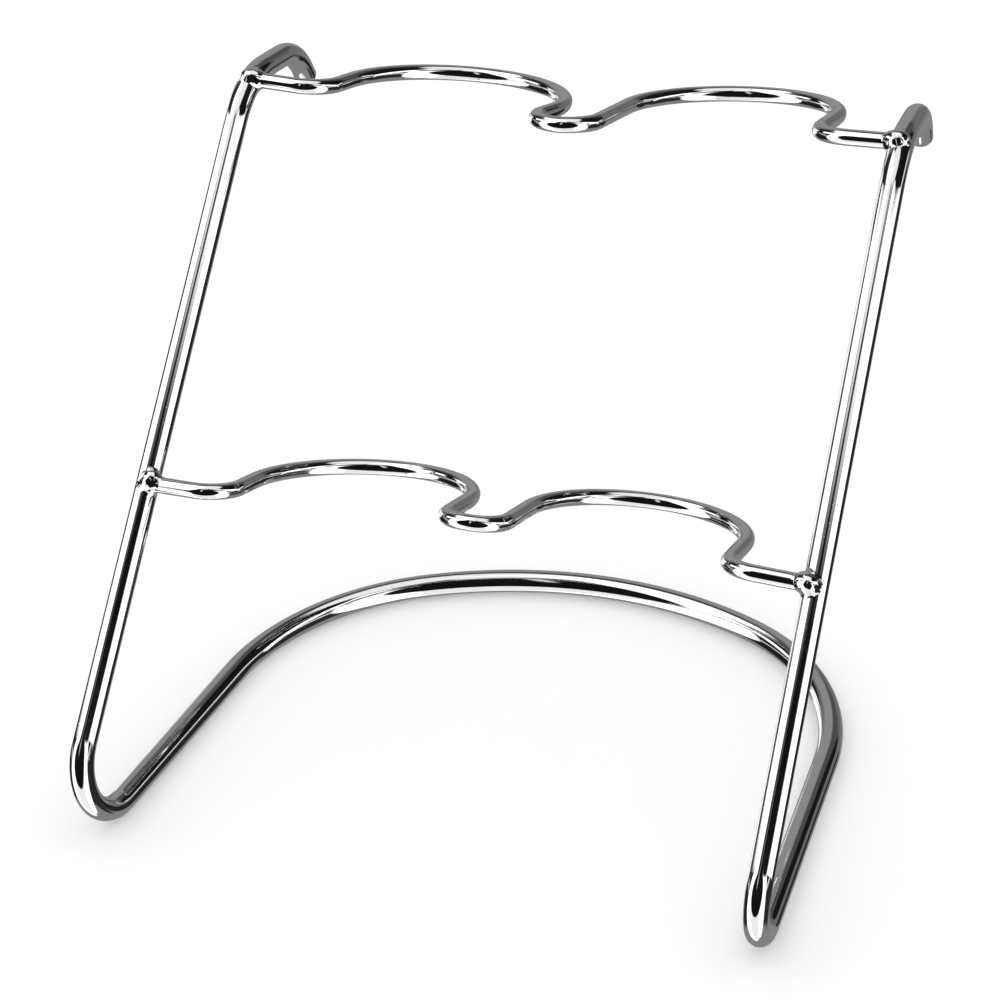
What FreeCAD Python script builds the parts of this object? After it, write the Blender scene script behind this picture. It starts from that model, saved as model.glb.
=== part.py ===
"""Test tube holder: one bent frame wire and two scalloped cross wires, welded at four places.

The frame wire runs from the left hook down the left upright, round the left foot, back along
the bench, round the back of the base and up the right side to the right hook.  Each cross wire
has two half-round recesses with a bump between them, so a tube leans in an upper and a lower
recess.  Millimetres, +X to the right, +Y to the back, +Z up; the origin is on the bench, under
the middle of the frame.
"""
import FreeCAD, Part
import math
import os

from FreeCAD import Placement, Rotation, Vector

doc = FreeCAD.newDocument("test_tube_holder")

# ---------------------------------------------------------------------------------------------
# Driving dimensions: millimetres and degrees.
# ---------------------------------------------------------------------------------------------
DIMENSIONS = {
    # wire and overall frame
    "frame_wire_dia": 4.76,
    "cross_wire_dia": 3.18,
    "frame_width": 135.0,           # between the uprights' centrelines
    "frame_front": 86.75,          # from the middle of the frame forward to the feet corners
    "upright_lean": 47.25,          # from the vertical, backwards
    # base: leg, corner bend and back bend
    "leg_length": 73.3,
    "leg_toe_in": 3.45,
    "base_corner_bend": 48.6,
    "base_corner_turn": 60.1,
    # feet and hooks, left and right as they were bent by hand
    "left_foot_bend": 10.8,
    "right_foot_bend": 9.1,
    "left_hook_start": 155.8,       # along the upright from the foot corner
    "right_hook_start": 152.8,
    "hook_first_bend": 18.9,
    "hook_first_turn": 51.6,
    "left_hook_run": 8.4,
    "right_hook_run": 9.2,
    "hook_last_bend": 13.5,
    "hook_last_turn": 50.1,
    "hook_tail": 3.4,
    "left_hook_twist": -1.5,        # about the upright, positive inwards
    "right_hook_twist": 6.6,
    # cross wires: where the crown of the middle bump lies, and how the wire's plane is turned
    "crown_bend": 6.0,
    "upper_height": 160.1,          # along the uprights from the feet corners
    "upper_forward": 0.85,          # out of the uprights' plane
    "upper_side": 0.05,
    "upper_tilt": -14.1,            # negative is down to the back
    "upper_turned": -5.0,           # in its own plane, negative puts the left end back
    "upper_bump_bend": 5.95,
    "lower_height": 78.7,
    "lower_forward": 4.1,
    "lower_side": 0.5,
    "lower_tilt": -18.5,
    "lower_turned": -3.1,
    "lower_bump_bend": 5.75,
}
# Each half, from the bump outwards: the bump's turn, its flank, the recess's radius and turn,
# the outer flank, the shoulder's bend, the straight end's angle and the drop of the end.
HALF_NAMES = ("bump_turn", "bump_flank", "recess_bend", "recess_turn", "shoulder_flank",
              "shoulder_bend", "end_angle", "end_drop")
HALVES = {
    "upper_left": (93.3, 4.2, 22.7, 183.7, 5.7, 6.4, 0.7, -3.1),
    "upper_right": (94.4, 17.6, 21.2, 178.2, 10.8, 8.1, 1.7, -1.3),
    "lower_left": (85.3, 9.1, 22.0, 178.9, 7.0, 5.9, -5.2, 1.2),
    "lower_right": (93.8, 11.0, 21.2, 176.8, 11.0, 6.7, -0.9, 3.6),
}
# Each weld bead: its half length along the cross wire, along the upright and front to back,
# and how far its middle lies beyond the upright's inner face and in front of the cross wire.
BEAD_NAMES = ("bead_along_wire", "bead_along_upright", "bead_depth", "bead_beyond",
              "bead_forward")
BEADS = {
    "upper_left": (2.4, 2.3, 2.1, 1.2, 0.6),
    "upper_right": (2.4, 2.4, 2.1, 0.9, 0.6),
    "lower_left": (2.3, 2.8, 2.2, 1.4, 1.0),
    "lower_right": (2.6, 2.8, 2.3, 1.2, 1.2),
}
for place, values in HALVES.items():
    DIMENSIONS.update({place + "_" + name: value for name, value in zip(HALF_NAMES, values)})
for place, values in BEADS.items():
    DIMENSIONS.update({place + "_" + name: value for name, value in zip(BEAD_NAMES, values)})

sheet = doc.addObject("Spreadsheet::Sheet", "dims")
for row, (alias, value) in enumerate(DIMENSIONS.items(), start=1):
    sheet.set("A%d" % row, alias)
    sheet.set("B%d" % row, str(value))
    sheet.setAlias("B%d" % row, alias)
doc.recompute()


def dim(alias):
    """A dimension, as the sheet holds it."""
    return float(sheet.get(alias))


# ---------------------------------------------------------------------------------------------
# Routes: straight runs joined by tangent arcs.
# ---------------------------------------------------------------------------------------------
class Route:
    """A path that is drawn forwards from a point, as wire is fed through a bender."""

    def __init__(self, start, heading):
        self.point = Vector(start)
        self.heading = Vector(heading).normalize()
        self.edges = []

    def straight(self, length):
        end = self.point + self.heading * length
        self.edges.append(Part.LineSegment(self.point, end).toShape())
        self.point = end

    def bend(self, radius, turn, axis):
        """Turn by some degrees about an axis, by the right-hand rule."""
        axis = Vector(axis).normalize()
        inward = axis.cross(self.heading)
        centre = self.point + inward * radius
        middle = centre + Rotation(axis, turn / 2).multVec(self.point - centre)
        end = centre + Rotation(axis, turn).multVec(self.point - centre)
        self.edges.append(Part.Arc(self.point, middle, end).toShape())
        self.point = end
        self.heading = Rotation(axis, turn).multVec(self.heading)


def swept_wire(name, edges, diameter_alias):
    """A round wire along a route, its radius bound to the sheet."""
    path = doc.addObject("Part::Feature", name + "_route")
    path.Shape = Part.Wire(Part.__sortEdges__(edges))
    first = path.Shape.OrderedEdges[0]
    start = path.Shape.OrderedVertexes[0].Point
    at = first.Curve.parameter(start)
    along = first.tangentAt(at)
    section = doc.addObject("Part::Circle", name + "_section")
    section.setExpression("Radius", "dims.%s / 2" % diameter_alias)
    section.Placement = Placement(start, Rotation(Vector(0, 0, 1), along))
    sweep = doc.addObject("Part::Sweep", name + "_sweep")
    sweep.Sections = [section]
    sweep.Spine = (path, ["Edge%d" % (i + 1) for i in range(len(path.Shape.Edges))])
    sweep.Solid = True
    sweep.Frenet = False
    return sweep


# ---------------------------------------------------------------------------------------------
# The frame wire.
# ---------------------------------------------------------------------------------------------
frame_radius = dim("frame_wire_dia") / 2
half_width = dim("frame_width") / 2
lean = math.radians(dim("upright_lean"))
UPRIGHT = Vector(0, math.sin(lean), math.cos(lean))
BEHIND = Vector(0, math.cos(lean), -math.sin(lean))
RIGHT = Vector(1, 0, 0)
DOWN = Vector(0, 0, -1)
corners_y = -dim("frame_front")


def foot_corner(side):
    """Where an upright's centreline meets its base leg's, with side -1 left and +1 right."""
    return Vector(side * half_width, corners_y, frame_radius)


def frame_half(side, hand):
    """From the middle of the base's back, round one side, to the tip of its hook."""
    toe = math.radians(dim("leg_toe_in"))
    leg = dim("leg_length")
    corner = dim("base_corner_bend")
    leg_heading = math.pi / 2 - toe
    back_turn = leg_heading - math.radians(dim("base_corner_turn"))
    corner_width = corner * (math.sin(leg_heading) - math.sin(back_turn))
    back_bend = (half_width - leg * math.sin(toe) - corner_width) / math.sin(back_turn)
    depth = (leg * math.cos(toe) + corner * (math.cos(back_turn) - math.cos(leg_heading))
             + back_bend * (1 - math.cos(back_turn)))
    route = Route(Vector(0, corners_y + depth, frame_radius), RIGHT * side)
    route.bend(back_bend, math.degrees(back_turn), DOWN * side)
    route.bend(corner, dim("base_corner_turn"), DOWN * side)
    foot = dim(hand + "_foot_bend")
    foot_turn = route.heading.getAngle(UPRIGHT)
    tangent = foot * math.tan(foot_turn / 2)
    route.straight(leg - tangent)
    route.bend(foot, math.degrees(foot_turn), route.heading.cross(UPRIGHT))
    route.straight(dim(hand + "_hook_start") - tangent)
    twist = Rotation(UPRIGHT, side * dim(hand + "_hook_twist"))
    hook_axis = twist.multVec(UPRIGHT.cross(BEHIND))
    route.bend(dim("hook_first_bend"), dim("hook_first_turn"), hook_axis)
    route.straight(dim(hand + "_hook_run"))
    route.bend(dim("hook_last_bend"), dim("hook_last_turn"), hook_axis)
    route.straight(dim("hook_tail"))
    return route


left_half = frame_half(-1, "left")
right_half = frame_half(1, "right")
frame_wire = swept_wire("frame_wire", left_half.edges + right_half.edges, "frame_wire_dia")
frame_wire.Label = "frame_wire"


# ---------------------------------------------------------------------------------------------
# The cross wires, coped to the uprights where they meet them.
# ---------------------------------------------------------------------------------------------
def cross_half(level, side, hand):
    """From the crown of the middle bump outwards to the weld on one upright."""
    tilt = Rotation(RIGHT, dim(level + "_tilt"))
    above = tilt.multVec(Vector(0, 0, 1))
    turned = Rotation(above, dim(level + "_turned"))
    across = turned.multVec(RIGHT) * side
    back = turned.multVec(tilt.multVec(Vector(0, 1, 0)))
    crown = (Vector(dim(level + "_side"), corners_y, frame_radius)
             + UPRIGHT * dim(level + "_height") - BEHIND * dim(level + "_forward"))
    half = {name: dim("%s_%s_%s" % (level, hand, name)) for name in HALF_NAMES}
    route = Route(crown, across)
    slope = math.degrees(math.atan(half["end_drop"] / half_width))
    route.bend(dim("crown_bend"), abs(slope), back * (side if slope > 0 else -side))
    plane = (Rotation(back, slope * side).multVec(above)) * side
    route.bend(dim(level + "_bump_bend"), half["bump_turn"], plane)
    route.straight(half["bump_flank"])
    route.bend(half["recess_bend"], half["recess_turn"], plane * -1)
    route.straight(half["shoulder_flank"])
    shoulder_turn = half["recess_turn"] - half["bump_turn"] - half["end_angle"]
    route.bend(half["shoulder_bend"], shoulder_turn, plane)
    # the end stops inside the upright, short of its centreline, and is coped back to its skin
    reach = half_width - frame_radius / 2 - side * route.point.x
    route.straight(reach / abs(route.heading.x))
    return route


def coped(name, solid, tools):
    """The solid with every tool's solid cut out of it, so that they meet face to face."""
    for index, tool in enumerate(tools, start=1):
        cut = doc.addObject("Part::Cut", "%s_cut_%d" % (name, index))
        cut.Base = solid
        cut.Tool = tool
        solid = cut
    solid.Label = name
    return solid


def weld_bead(place, side, end, wire):
    """A saddle of weld metal round the end of a cross wire, on the inner face of an upright."""
    bead = doc.addObject("Part::Ellipsoid", place + "_bead")
    bead.setExpression("Radius1", "dims.%s_bead_along_wire" % place)
    bead.setExpression("Radius2", "dims.%s_bead_depth" % place)
    bead.setExpression("Radius3", "dims.%s_bead_along_upright" % place)
    bead.Angle1 = -90
    bead.Angle2 = 90
    bead.Angle3 = 360
    beyond = half_width - frame_radius + dim(place + "_bead_beyond")
    centre = Vector(side * beyond, end.y, end.z) - BEHIND * dim(place + "_bead_forward")
    bead.Placement = Placement(centre, Rotation(BEHIND, UPRIGHT, RIGHT, "ZXY"))
    return coped("weld_" + place, bead, [frame_wire, wire])


nodes = [frame_wire]
for level in ("upper", "lower"):
    left = cross_half(level, -1, "left")
    right = cross_half(level, 1, "right")
    sweep = swept_wire(level + "_wire", left.edges + right.edges, "cross_wire_dia")
    cross_wire = coped(level + "_cross_wire", sweep, [frame_wire])
    nodes.append(cross_wire)
    nodes.append(weld_bead(level + "_left", -1, left.point, cross_wire))
    nodes.append(weld_bead(level + "_right", 1, right.point, cross_wire))

doc.recompute()

# ---------------------------------------------------------------------------------------------
# Checks, then one file for each piece.
# ---------------------------------------------------------------------------------------------
for item in doc.Objects:
    if "Invalid" in item.State or "Error" in item.State:
        raise RuntimeError("%s failed: %s" % (item.Label, item.State))
os.makedirs("parts", exist_ok=True)
for node in nodes:
    shape = node.Shape
    if shape.isNull() or not shape.isValid():
        raise RuntimeError("%s has no valid shape" % node.Label)
    box = shape.BoundBox
    print("%-18s solids %d volume %8.1f mm3  x %.1f..%.1f  y %.1f..%.1f  z %.2f..%.2f" % (
        node.Label, len(shape.Solids), shape.Volume, box.XMin, box.XMax,
        box.YMin, box.YMax, box.ZMin, box.ZMax))
    shape.exportStep("parts/%s.step" % node.Label)
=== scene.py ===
"""Looks of the test tube holder: three chromed wires and four weld beads on white paper.

Each wire is drawn again as a fine round tube along the same straight runs and tangent bends
as the CAD part, and each weld bead as a lumpy fillet between its two wires.  Shapes are worked
out in millimetres and degrees, and become metres when their meshes are made.
"""

import math

import bmesh
import bpy
import numpy as np
from mathutils import Euler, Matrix, Quaternion, Vector, noise


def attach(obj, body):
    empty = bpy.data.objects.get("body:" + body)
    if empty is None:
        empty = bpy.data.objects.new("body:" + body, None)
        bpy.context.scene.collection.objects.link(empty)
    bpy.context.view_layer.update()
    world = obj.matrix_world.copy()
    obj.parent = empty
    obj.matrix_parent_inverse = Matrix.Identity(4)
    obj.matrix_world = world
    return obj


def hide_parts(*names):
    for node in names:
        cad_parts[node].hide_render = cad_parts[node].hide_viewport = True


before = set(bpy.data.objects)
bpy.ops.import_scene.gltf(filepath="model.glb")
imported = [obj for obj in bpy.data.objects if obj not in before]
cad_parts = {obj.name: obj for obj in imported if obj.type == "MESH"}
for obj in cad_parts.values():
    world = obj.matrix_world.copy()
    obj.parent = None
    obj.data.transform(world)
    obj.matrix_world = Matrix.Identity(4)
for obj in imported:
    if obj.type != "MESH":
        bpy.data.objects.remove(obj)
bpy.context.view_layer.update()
MM = 0.001
RIGHT = Vector((1, 0, 0))
EASING_STEPS = 6

# ---------------------------------------------------------------------------------------------
# The part's driving dimensions: millimetres and degrees.
# ---------------------------------------------------------------------------------------------
FRAME_RADIUS = 2.38
CROSS_RADIUS = 1.59
HALF_WIDTH = 67.5
CORNERS_Y = -86.75
UPRIGHT_LEAN = 47.25
LEG_LENGTH = 73.3
LEG_TOE_IN = 3.45
BASE_CORNER_BEND = 48.6
BASE_CORNER_TURN = 60.1
HOOK_BENDS = ((18.9, 51.6), (13.5, 50.1))
HOOK_TAIL = 3.4
SIDES = {
    "left": dict(side=-1, foot=10.8, hook_start=155.8, hook_run=8.4, twist=-1.5),
    "right": dict(side=1, foot=9.1, hook_start=152.8, hook_run=9.2, twist=6.6),
}
CROWN_BEND = 6.0
LEVELS = {
    "upper": dict(height=160.1, forward=0.85, side=0.05, tilt=-14.1, turned=-5.0, bump=5.95),
    "lower": dict(height=78.7, forward=4.1, side=0.5, tilt=-18.5, turned=-3.1, bump=5.75),
}
# Each half of a cross wire, from the bump outwards: the bump's turn, its flank, the recess's
# radius and turn, the outer flank, the shoulder's bend, the straight end's angle and its drop.
HALVES = {
    ("upper", "left"): (93.3, 4.2, 22.7, 183.7, 5.7, 6.4, 0.7, -3.1),
    ("upper", "right"): (94.4, 17.6, 21.2, 178.2, 10.8, 8.1, 1.7, -1.3),
    ("lower", "left"): (85.3, 9.1, 22.0, 178.9, 7.0, 5.9, -5.2, 1.2),
    ("lower", "right"): (93.8, 11.0, 21.2, 176.8, 11.0, 6.7, -0.9, 3.6),
}
lean = math.radians(UPRIGHT_LEAN)
UPRIGHT = Vector((0, math.sin(lean), math.cos(lean)))
BEHIND = Vector((0, math.cos(lean), -math.sin(lean)))


# ---------------------------------------------------------------------------------------------
# Routes and tubes.
# ---------------------------------------------------------------------------------------------
class Route:
    """Points along straight runs and tangent arcs, with the heading at each."""

    ARC_STEP = 0.35
    RUN_STEP = 1.4

    def __init__(self, start, heading):
        self.points = [Vector(start)]
        self.headings = [Vector(heading).normalized()]

    def straight(self, length):
        start, heading = self.points[-1], self.headings[-1]
        count = max(1, round(length / self.RUN_STEP))
        for index in range(1, count + 1):
            self.points.append(start + heading * (length * index / count))
            self.headings.append(heading)

    def bend(self, radius, turn, axis):
        start, heading = self.points[-1], self.headings[-1]
        axis = Vector(axis).normalized()
        centre = start + axis.cross(heading) * radius
        count = max(2, round(radius * math.radians(abs(turn)) / self.ARC_STEP))
        for index in range(1, count + 1):
            step = Quaternion(axis, math.radians(turn * index / count))
            self.points.append(centre + step @ (start - centre))
            self.headings.append(step @ heading)


def frame_half(side, foot, hook_start, hook_run, twist):
    """From the middle of the base's back, round one side, to the tip of its hook."""
    toe = math.radians(LEG_TOE_IN)
    leg_heading = math.pi / 2 - toe
    back_turn = leg_heading - math.radians(BASE_CORNER_TURN)
    corner_width = BASE_CORNER_BEND * (math.sin(leg_heading) - math.sin(back_turn))
    back_bend = (HALF_WIDTH - LEG_LENGTH * math.sin(toe) - corner_width) / math.sin(back_turn)
    depth = (LEG_LENGTH * math.cos(toe)
             + BASE_CORNER_BEND * (math.cos(back_turn) - math.cos(leg_heading))
             + back_bend * (1 - math.cos(back_turn)))
    route = Route((0, CORNERS_Y + depth, FRAME_RADIUS), RIGHT * side)
    down = Vector((0, 0, -side))
    route.bend(back_bend, math.degrees(back_turn), down)
    route.bend(BASE_CORNER_BEND, BASE_CORNER_TURN, down)
    foot_turn = route.headings[-1].angle(UPRIGHT)
    tangent = foot * math.tan(foot_turn / 2)
    route.straight(LEG_LENGTH - tangent)
    route.bend(foot, math.degrees(foot_turn), route.headings[-1].cross(UPRIGHT))
    route.straight(hook_start - tangent)
    hook_axis = Quaternion(UPRIGHT, math.radians(side * twist)) @ UPRIGHT.cross(BEHIND)
    (first_bend, first_turn), (last_bend, last_turn) = HOOK_BENDS
    route.bend(first_bend, first_turn, hook_axis)
    route.straight(hook_run)
    route.bend(last_bend, last_turn, hook_axis)
    route.straight(HOOK_TAIL)
    return route


def cross_half(level, hand):
    """From the crown of the middle bump outwards, to just inside the upright."""
    place = LEVELS[level]
    side = SIDES[hand]["side"]
    (bump_turn, bump_flank, recess, recess_turn,
     flank, shoulder, end_angle, drop) = HALVES[level, hand]
    tilt = Quaternion(RIGHT, math.radians(place["tilt"]))
    above = tilt @ Vector((0, 0, 1))
    turned = Quaternion(above, math.radians(place["turned"]))
    across = (turned @ RIGHT) * side
    back = turned @ tilt @ Vector((0, 1, 0))
    crown = (Vector((place["side"], CORNERS_Y, FRAME_RADIUS))
             + UPRIGHT * place["height"] - BEHIND * place["forward"])
    route = Route(crown, across)
    slope = math.degrees(math.atan(drop / HALF_WIDTH))
    route.bend(CROWN_BEND, abs(slope), back * (side if slope > 0 else -side))
    plane = (Quaternion(back, math.radians(slope * side)) @ above) * side
    route.bend(place["bump"], bump_turn, plane)
    route.straight(bump_flank)
    route.bend(recess, recess_turn, -plane)
    route.straight(flank)
    route.bend(shoulder, recess_turn - bump_turn - end_angle, plane)
    reach = HALF_WIDTH - FRAME_RADIUS / 2 - side * route.points[-1].x
    route.straight(reach / abs(route.headings[-1].x))
    return route


def joined(left, right):
    """Both halves as one route, from the left end to the right."""
    points = left.points[::-1] + right.points[1:]
    headings = [-heading for heading in left.headings[::-1]] + right.headings[1:]
    return points, headings


def new_object(name, vertices, faces):
    """A smooth mesh object, from vertices in millimetres."""
    mesh = bpy.data.meshes.new(name)
    mesh.from_pydata([vertex * MM for vertex in vertices], [], faces)
    mesh.update()
    mesh.polygons.foreach_set("use_smooth", [True] * len(mesh.polygons))
    obj = bpy.data.objects.new(name, mesh)
    bpy.context.scene.collection.objects.link(obj)
    return obj


def tube(name, points, headings, radius, around, edge=0.0):
    """A round wire along a route, with flat ends whose edges are eased by a round of size edge."""
    across = headings[0].orthogonal().normalized()
    rings = []
    for index, (point, heading) in enumerate(zip(points, headings)):
        if index:
            across = headings[index - 1].rotation_difference(heading) @ across
            across = (across - heading * across.dot(heading)).normalized()
        rings.append((point, heading, across, radius))
    if edge:
        rings = eased_end(rings[0], edge, 1) + rings[1:-1] + eased_end(rings[-1], edge, -1)
    vertices = []
    for point, heading, across, size in rings:
        upward = heading.cross(across)
        for step in range(around):
            angle = math.tau * step / around
            vertices.append(point + (across * math.cos(angle) + upward * math.sin(angle)) * size)
    faces = []
    for ring in range(len(rings) - 1):
        for step in range(around):
            here = ring * around + step
            beside = ring * around + (step + 1) % around
            faces.append((here, beside, beside + around, here + around))
    first = list(range(around))
    faces.append(tuple(reversed(first)))
    faces.append(tuple(len(vertices) - around + step for step in first))
    return new_object(name, vertices, faces)


def eased_end(ring, edge, way):
    """Rings that round a wire's end over: way is 1 at its first point and -1 at its last."""
    point, heading, across, radius = ring
    rings = []
    for index in range(EASING_STEPS + 1):
        angle = math.pi / 2 * index / EASING_STEPS
        along = edge * (1 - math.cos(angle)) * way
        size = radius - edge + edge * math.sin(angle)
        rings.append((point + heading * along, heading, across, size))
    return rings if way > 0 else rings[::-1]


def unit_sphere(subdivisions):
    """Directions spread evenly over a sphere, and the triangles that join them."""
    sphere = bmesh.new()
    bmesh.ops.create_icosphere(sphere, subdivisions=subdivisions, radius=1.0)
    rays = np.array([vertex.co[:] for vertex in sphere.verts])
    rays /= np.linalg.norm(rays, axis=1)[:, None]
    faces = [[vertex.index for vertex in face.verts] for face in sphere.faces]
    sphere.free()
    return rays, faces


def smooth_union(gap, other, blend):
    """The distance to two shapes joined by a fillet, from the distance to each."""
    share = np.clip(0.5 + 0.5 * (other - gap) / blend, 0, 1)
    return other * (1 - share) + gap * share - blend * share * (1 - share)


def weld_bead(name, centre, wires, blobs, seed):
    """A lumpy fillet: the smooth union of wire stubs and blobs, as seen from its centre.

    Each wire is (points, radius) and each blob (offset from the centre, radius).  The stubs
    run inside their wires, so that only the fillet between them shows.
    """
    reach = 6.0
    margin = 3.0
    inset = 0.10
    blend = 1.9
    first_look = 0.4
    looks = 15
    halvings = 9
    lump_pitch = 0.6
    lump_height = 0.08
    rays, faces = unit_sphere(6)
    centre = np.array(centre)
    stubs = []
    for points, radius in wires:
        near = np.array([point[:] for point in points])
        near = near[np.linalg.norm(near - centre, axis=1) < reach + margin]
        stubs.append((near, radius - inset))

    def outside(at):
        """How far each point lies outside the metal."""
        gaps = [np.sqrt(((at[:, None, :] - near[None]) ** 2).sum(2).min(1)) - radius
                for near, radius in stubs]
        gaps += [np.linalg.norm(at - centre - np.array(offset), axis=1) - radius
                 for offset, radius in blobs]
        gap = gaps[0]
        for other in gaps[1:]:
            gap = smooth_union(gap, other, blend)
        return gap

    far = np.full(len(rays), reach)
    for distance in np.linspace(first_look, reach, looks):
        crossed = (outside(centre + rays * distance) > 0) & (far >= reach)
        far = np.where(crossed, distance, far)
    near_side = np.maximum(far - first_look, 0)
    for _ in range(halvings):
        middle = (near_side + far) / 2
        beyond = outside(centre + rays * middle[:, None]) > 0
        far = np.where(beyond, middle, far)
        near_side = np.where(beyond, near_side, middle)
    vertices = []
    for ray, distance in zip(rays, near_side):
        at = Vector(centre + ray * distance)
        lump = noise.fractal(at * lump_pitch + Vector((seed, 0, 0)), 1.0, 2.1, 2)
        vertices.append(at + Vector(ray) * (lump_height * lump))
    return new_object(name, vertices, faces)


# ---------------------------------------------------------------------------------------------
# Chrome, bright but not perfect: faint smears, ripples under the plating, and fine pits.
# ---------------------------------------------------------------------------------------------
PIT_DEPTH = 0.00002


def chrome(name, ripple_depth, pit_strength):
    """Plated steel; depths are in metres, and the pits' strength is from 0 to 1."""
    material = bpy.data.materials.new(name)
    material.use_nodes = True
    nodes = material.node_tree.nodes
    links = material.node_tree.links
    shader = nodes["Principled BSDF"]
    shader.inputs["Metallic"].default_value = 1.0
    shader.inputs["Base Color"].default_value = (0.83, 0.83, 0.84, 1)
    place = nodes.new("ShaderNodeTexCoord")

    def texture(kind, scale, **values):
        """A texture in the object's own metres: its scale is in features per metre."""
        node = nodes.new(kind)
        node.inputs["Scale"].default_value = scale
        for key, value in values.items():
            node.inputs[key].default_value = value
        links.new(place.outputs["Object"], node.inputs["Vector"])
        return node

    def remap(source, low, high, out_low, out_high):
        node = nodes.new("ShaderNodeMapRange")
        node.inputs["From Min"].default_value = low
        node.inputs["From Max"].default_value = high
        node.inputs["To Min"].default_value = out_low
        node.inputs["To Max"].default_value = out_high
        links.new(source, node.inputs["Value"])
        return node.outputs["Result"]

    def bump(depth, height):
        node = nodes.new("ShaderNodeBump")
        node.inputs["Distance"].default_value = depth
        node.inputs["Strength"].default_value = 1.0
        links.new(height, node.inputs["Height"])
        return node

    smears = texture("ShaderNodeTexNoise", 220, Detail=5, Roughness=0.6)
    links.new(remap(smears.outputs["Fac"], 0.4, 0.75, 0.03, 0.075), shader.inputs["Roughness"])
    ripples = texture("ShaderNodeTexNoise", 420, Detail=3, Roughness=0.55)
    rippled = bump(ripple_depth, ripples.outputs["Fac"])
    pits = texture("ShaderNodeTexVoronoi", 900)
    pitted = bump(PIT_DEPTH, remap(pits.outputs["Distance"], 0.0, 0.16, -pit_strength, 0.0))
    links.new(rippled.outputs["Normal"], pitted.inputs["Normal"])
    links.new(pitted.outputs["Normal"], shader.inputs["Normal"])
    return material


wire_chrome = chrome("wire_chrome", ripple_depth=0.0000012, pit_strength=0.2)
weld_chrome = chrome("weld_chrome", ripple_depth=0.000006, pit_strength=0.5)


def finish_piece(obj, node, material):
    """Give a piece its material, and put it in place of its CAD node."""
    obj.data.materials.append(material)
    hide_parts(node)
    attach(obj, "root")


# ---------------------------------------------------------------------------------------------
# The pieces.
# ---------------------------------------------------------------------------------------------
frame_points, frame_headings = joined(frame_half(**SIDES["left"]), frame_half(**SIDES["right"]))
frame_tube = tube("frame_wire_tube", frame_points, frame_headings, FRAME_RADIUS,
                  around=64, edge=0.35)
finish_piece(frame_tube, "frame_wire", wire_chrome)
ends = {}
cross_points = {}
for level in LEVELS:
    halves = {hand: cross_half(level, hand) for hand in SIDES}
    cross_points[level], headings = joined(halves["left"], halves["right"])
    cross_tube = tube(level + "_cross_wire_tube", cross_points[level], headings, CROSS_RADIUS,
                      around=48)
    finish_piece(cross_tube, level + "_cross_wire", wire_chrome)
    for hand in SIDES:
        ends[level, hand] = halves[hand].points[-1]

# Blobs of weld metal: how far each lies outwards, forwards and up the upright, and its radius.
BEADS = {
    ("upper", "left"): ((1.0, 0.9, 0.2, 1.2), (2.4, 1.3, -0.1, 1.0)),
    ("upper", "right"): ((0.8, 0.9, 0.2, 1.2), (2.2, 1.2, 0.0, 1.0)),
    ("lower", "left"): ((0.4, 0.9, 0.3, 1.3), (0.6, 1.2, 1.2, 1.0)),
    ("lower", "right"): ((0.8, 1.0, 0.3, 1.3), (2.0, 1.3, -0.4, 1.1)),
}
SEED_STEP = 7.3
for seed, ((level, hand), blobs) in enumerate(BEADS.items()):
    side = SIDES[hand]["side"]
    end = ends[level, hand]
    centre = Vector((side * (HALF_WIDTH - FRAME_RADIUS), end.y, end.z))
    spots = [(RIGHT * (side * out) - BEHIND * forward + UPRIGHT * up, size)
             for out, forward, up, size in blobs]
    wires = [(frame_points, FRAME_RADIUS), (cross_points[level], CROSS_RADIUS)]
    bead = weld_bead("%s_%s_bead" % (level, hand), centre, wires, spots, SEED_STEP * seed)
    finish_piece(bead, "weld_%s_%s" % (level, hand), weld_chrome)

# ---------------------------------------------------------------------------------------------
# Stage: white paper, a room of softboxes and flags, and the camera.
# ---------------------------------------------------------------------------------------------
PAPER_HALF = 3000
paper_corners = [Vector((x * PAPER_HALF, y * PAPER_HALF, 0))
                 for x, y in ((-1, -1), (1, -1), (1, 1), (-1, 1))]
floor = new_object("floor", paper_corners, [(0, 1, 2, 3)])
floor.visible_glossy = False
paper = bpy.data.materials.new("paper")
paper.use_nodes = True
paper_shader = paper.node_tree.nodes["Principled BSDF"]
paper_shader.inputs["Base Color"].default_value = (0.92, 0.92, 0.92, 1)
paper_shader.inputs["Roughness"].default_value = 0.9
floor.data.materials.append(paper)

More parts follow.
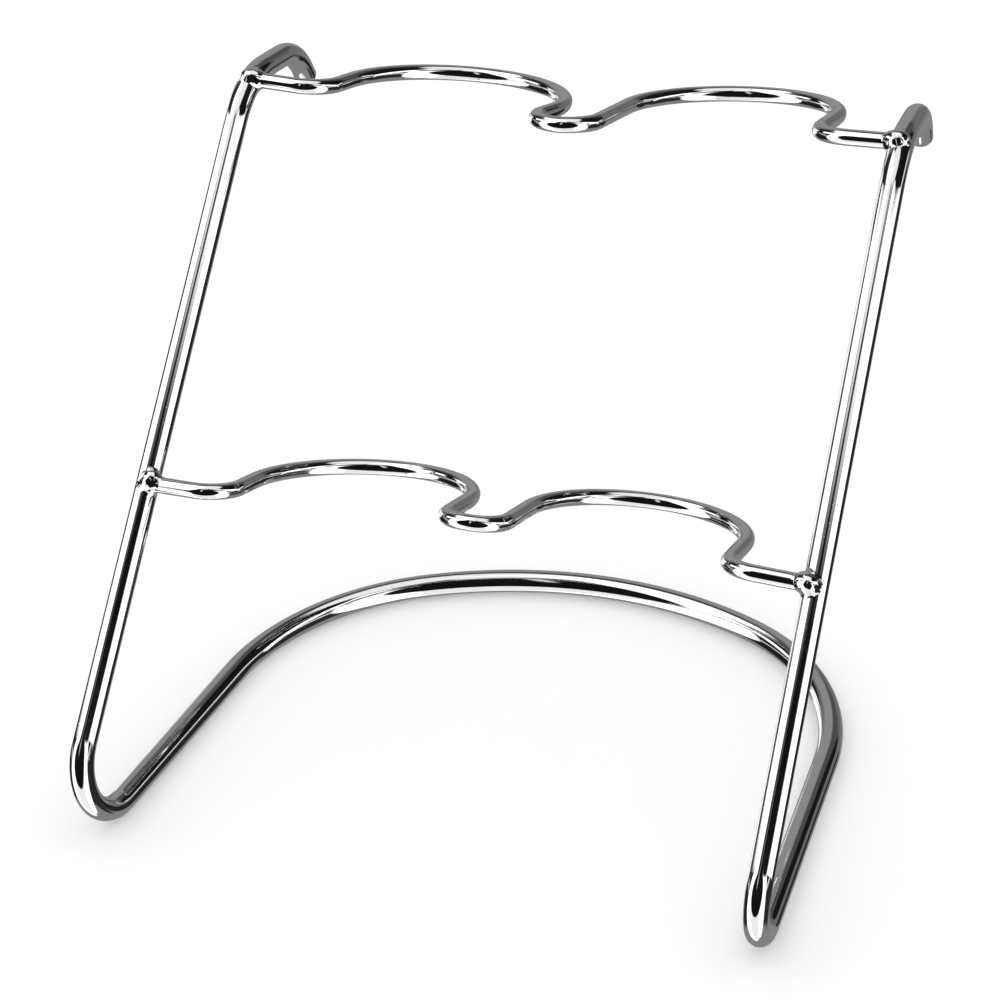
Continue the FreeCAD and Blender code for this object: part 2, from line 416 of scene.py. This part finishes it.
# What stands round the object, in degrees: the bearing of its middle, clockwise from the back
# as seen from above, and its height above the horizon, its half width and half height, how
# soft its edges are, how far it slants (degrees up for each degree round) and how bright it is.
# A later one hides those before it.  ROOM is the brightness of what none of them hides.
ROOM = 0.16
BACKDROP = 1.16
PANELS = {
    "bench in front": (180, -55, 62, 42, 12, 0, 1.0),
    "bench behind": (0, -55, 110, 40, 16, 0, 0.25),
    "floor shade on the right": (82, -26, 34, 21, 9, 0, 0.025),
    "floor shade on the left": (276, -25, 25, 18, 7, 0, 0.015),
    "dark ceiling behind": (20, 65, 90, 22, 12, 0, 0.05),
    "dark wall behind": (12, 32, 17, 22, 12, 0, 0.08),
    "dark wall on the right": (66, 36, 42, 32, 6, 0, 0.008),
    "wall behind, left": (335, 16, 23, 26, 12, 0, 0.29),
    "dark corner, low right": (44, -22, 21, 13, 6, 0.4, 0.02),
    "horizon on the right": (76, 2, 36, 3.5, 3, 0, 0.9),
    "ceiling": (190, 79, 180, 16, 6, 0, 1.0),
    "left softbox": (233, 20, 19, 110, 4, 0, 1.7),
    "left softbox, high": (262, 62, 48, 13, 6, 0, 1.7),
    "dark wall on the left": (276, 20, 26, 22, 6, 0, 0.02),
    "horizon on the left": (276, -1, 24, 3, 3, 0, 0.7),
    "left softbox, leaning": (262, 29, 21, 9, 5, -0.9, 1.7),
    "bounce card, low left": (305, -12, 14, 14, 5, -0.7, 1.2),
    "edge flag on the left": (282, 6, 9, 14, 4, 0, 0.006),
    "right softbox": (127, -8, 21, 66, 4, 0, 1.7),
    "right softbox, far end": (86, 15.5, 21, 10.5, 3, 1.05, 1.7),
    "camera and its flag": (178, 17, 47, 44, 5, 0, 0.006),
    "flag over the right softbox": (135, 49, 28, 8.5, 10, 0.55, 0.006),
    "lamp above the camera": (187, 42, 3, 13, 4, 0, 0.8),
}
ROUND_PANELS = {"camera and its flag", "lamp above the camera"}
world = bpy.data.worlds.new("studio")
bpy.context.scene.world = world
world.use_nodes = True
sky = world.node_tree.nodes
sky_links = world.node_tree.links


def compute(operation, *inputs):
    """One arithmetic step; each input is a number or another step's output."""
    step = sky.new("ShaderNodeMath")
    step.operation = operation
    for socket, value in zip(step.inputs, inputs):
        if isinstance(value, (int, float)):
            socket.default_value = value
        else:
            sky_links.new(value, socket)
    return step.outputs[0]


def soft_edge(distance, half, soft):
    """1 inside a half width and 0 outside it, with a soft edge."""
    ramp = sky.new("ShaderNodeMapRange")
    ramp.interpolation_type = "SMOOTHSTEP"
    ramp.inputs["From Min"].default_value = half - soft / 2
    ramp.inputs["From Max"].default_value = half + soft / 2
    ramp.inputs["To Min"].default_value = 1
    ramp.inputs["To Max"].default_value = 0
    sky_links.new(distance, ramp.inputs["Value"])
    return ramp.outputs["Result"]


direction = sky.new("ShaderNodeSeparateXYZ")
sky_links.new(sky.new("ShaderNodeTexCoord").outputs["Generated"], direction.inputs[0])
east, north, height = direction.outputs
bearing = compute("DEGREES", compute("ARCTAN2", east, north))
rise = compute("DEGREES", compute("ARCSINE", height))
light = ROOM
for name, (azimuth, elevation, half_wide, half_high, soft, slant, brightness) in PANELS.items():
    round_by = compute("WRAP", compute("SUBTRACT", bearing, azimuth), 180, -180)
    up_by = compute("SUBTRACT", compute("SUBTRACT", rise, elevation),
                    compute("MULTIPLY", round_by, slant))
    if name in ROUND_PANELS:
        across = compute("POWER", compute("DIVIDE", round_by, half_wide), 2)
        along = compute("POWER", compute("DIVIDE", up_by, half_high), 2)
        inside = soft_edge(compute("SQRT", compute("ADD", across, along)), 1, soft / half_wide)
    else:
        inside = compute("MULTIPLY", soft_edge(compute("ABSOLUTE", round_by), half_wide, soft),
                         soft_edge(compute("ABSOLUTE", up_by), half_high, soft))
    light = compute("ADD", compute("MULTIPLY", light, compute("SUBTRACT", 1, inside)),
                    compute("MULTIPLY", inside, brightness))
# The wires mirror the room; the paper is lit evenly, and is what the camera sees behind.
mirrored = sky.new("ShaderNodeLightPath").outputs["Is Glossy Ray"]
light = compute("ADD", compute("MULTIPLY", light, mirrored),
                compute("MULTIPLY", BACKDROP, compute("SUBTRACT", 1, mirrored)))
sky_links.new(light, sky["Background"].inputs["Strength"])
sky["Background"].inputs["Color"].default_value = (1, 1, 1, 1)

camera_data = bpy.data.cameras.new("camera")
camera_data.lens = 112.9
camera_data.sensor_width = 36
camera_data.clip_start = 0.01
camera = bpy.data.objects.new("camera", camera_data)
camera.location = Vector((203.9, -487.6, 360.4)) * MM
camera.rotation_euler = Euler([math.radians(angle) for angle in (59.094, 4.481, 20.590)])
bpy.context.scene.collection.objects.link(camera)
bpy.context.scene.camera = camera
bpy.context.scene.view_settings.view_transform = "Standard"
